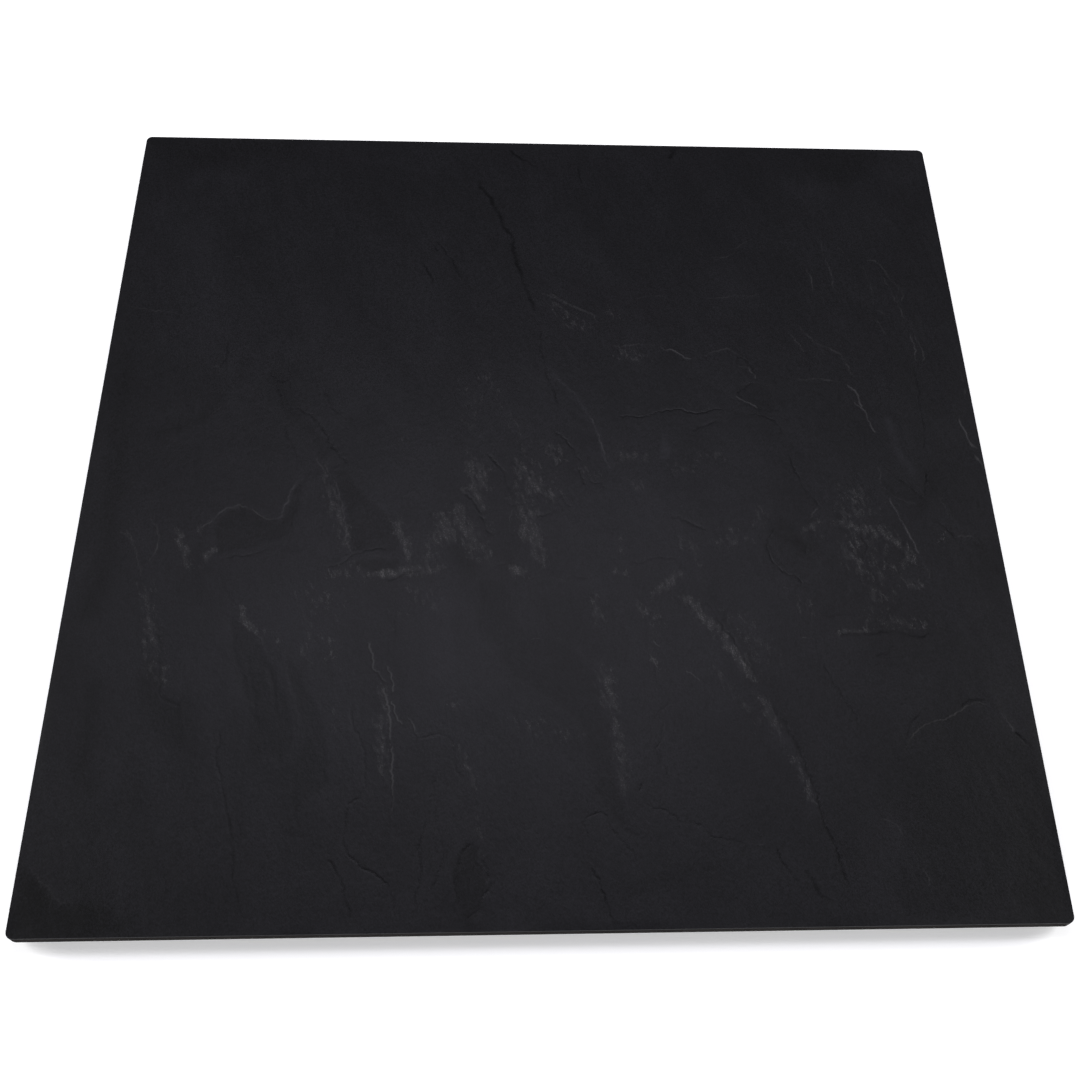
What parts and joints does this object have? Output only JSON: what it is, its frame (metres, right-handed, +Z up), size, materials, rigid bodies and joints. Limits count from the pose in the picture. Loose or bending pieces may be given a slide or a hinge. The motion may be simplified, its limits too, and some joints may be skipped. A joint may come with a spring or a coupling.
{
  "type": "riven stone bench slab",
  "caption": "Thin square slab of black riven stone with eased edges and rounded corners, backed with glass mesh, on low rubber feet; a bench surface for leatherwork.",
  "frame": {"origin": "on the bench, under the middle of the slab, so the feet stand on Z = 0", "axes": "+X to the right along the front edge, +Y from the front edge to the back edge, +Z up out of the work face"},
  "size_m": [0.7, 0.7, 0.014],
  "materials": {
    "stone": "satin",
    "resin_mesh": "satin",
    "foot_rubber": "matte",
    "foam_tape": "matte"
  },
  "bodies": {
    "root": {"stone_slab": "stone", "mesh_backing": "resin_mesh", "foot_front_left": "foot_rubber", "foot_front_centre": "foot_rubber", "foot_front_right": "foot_rubber", "foot_middle_left": "foot_rubber", "foot_middle_centre": "foot_rubber", "foot_middle_right": "foot_rubber", "foot_back_left": "foot_rubber", "foot_back_centre": "foot_rubber", "foot_back_right": "foot_rubber", "foot_tape_front_left": "foam_tape", "foot_tape_front_centre": "foam_tape", "foot_tape_front_right": "foam_tape", "foot_tape_middle_left": "foam_tape", "foot_tape_middle_centre": "foam_tape", "foot_tape_middle_right": "foam_tape", "foot_tape_back_left": "foam_tape", "foot_tape_back_centre": "foam_tape", "foot_tape_back_right": "foam_tape"}
  },
  "joints": []
}
